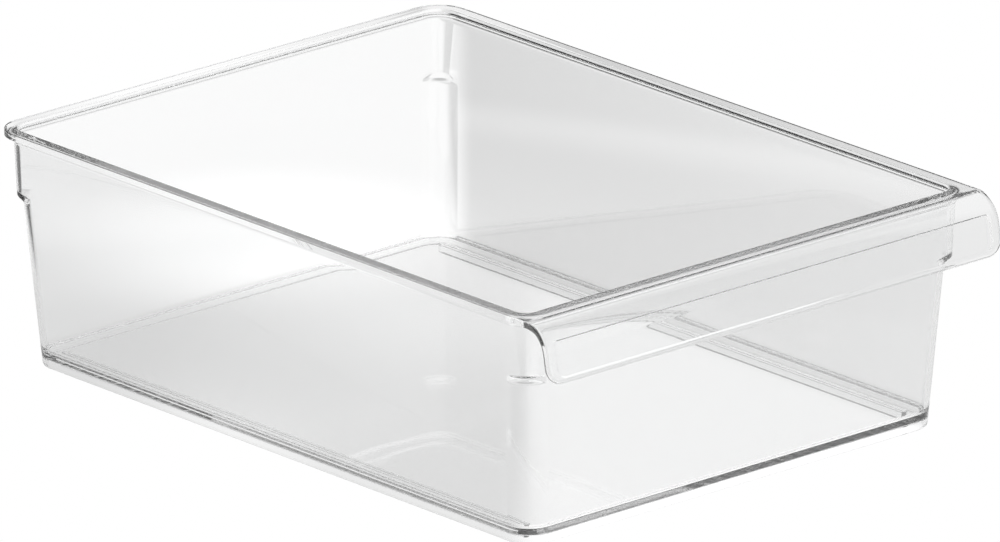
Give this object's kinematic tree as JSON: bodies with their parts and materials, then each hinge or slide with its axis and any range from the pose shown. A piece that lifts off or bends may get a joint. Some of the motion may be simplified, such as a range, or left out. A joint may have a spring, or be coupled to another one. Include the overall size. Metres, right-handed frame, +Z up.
{
  "type": "fridge bin",
  "caption": "Clear open-top storage bin with sloped sides, a rim flange, corner stacking ledges and a full-width curled pull handle with a recessed face.",
  "frame": {"origin": "on the surface that the bin stands on, below the middle of its whole width and depth, handle included", "axes": "+Z up; the pull handle is at -Y and the back wall at +Y; +X is the right-hand side seen from the handle"},
  "size_m": [0.26, 0.368, 0.108],
  "materials": {
    "clear_plastic": "colourless transparent moulded plastic, polished",
    "handle_label_panel": "the same transparent plastic, polished, in the recess of the handle's face"
  },
  "bodies": {
    "root": {"floor_panel": "clear_plastic", "runner_left": "clear_plastic", "runner_right": "clear_plastic", "foot_rail_front": "clear_plastic", "foot_rail_back": "clear_plastic", "foot_rail_left": "clear_plastic", "foot_rail_right": "clear_plastic", "wall_front": "clear_plastic", "wall_back": "clear_plastic", "wall_left": "clear_plastic", "wall_right": "clear_plastic", "post_front_left": "clear_plastic", "post_front_right": "clear_plastic", "post_back_left": "clear_plastic", "post_back_right": "clear_plastic", "ledge_front_left": "clear_plastic", "ledge_front_right": "clear_plastic", "ledge_back_left": "clear_plastic", "ledge_back_right": "clear_plastic", "flare_front_left": "clear_plastic", "flare_front_right": "clear_plastic", "flare_back_left": "clear_plastic", "flare_back_right": "clear_plastic", "rim_front": "clear_plastic", "rim_back": "clear_plastic", "rim_left": "clear_plastic", "rim_right": "clear_plastic", "rim_corner_front_left": "clear_plastic", "rim_corner_front_right": "clear_plastic", "rim_corner_back_left": "clear_plastic", "rim_corner_back_right": "clear_plastic", "handle_bend": "clear_plastic", "handle_frame": "clear_plastic", "handle_panel": "handle_label_panel"}
  },
  "joints": []
}
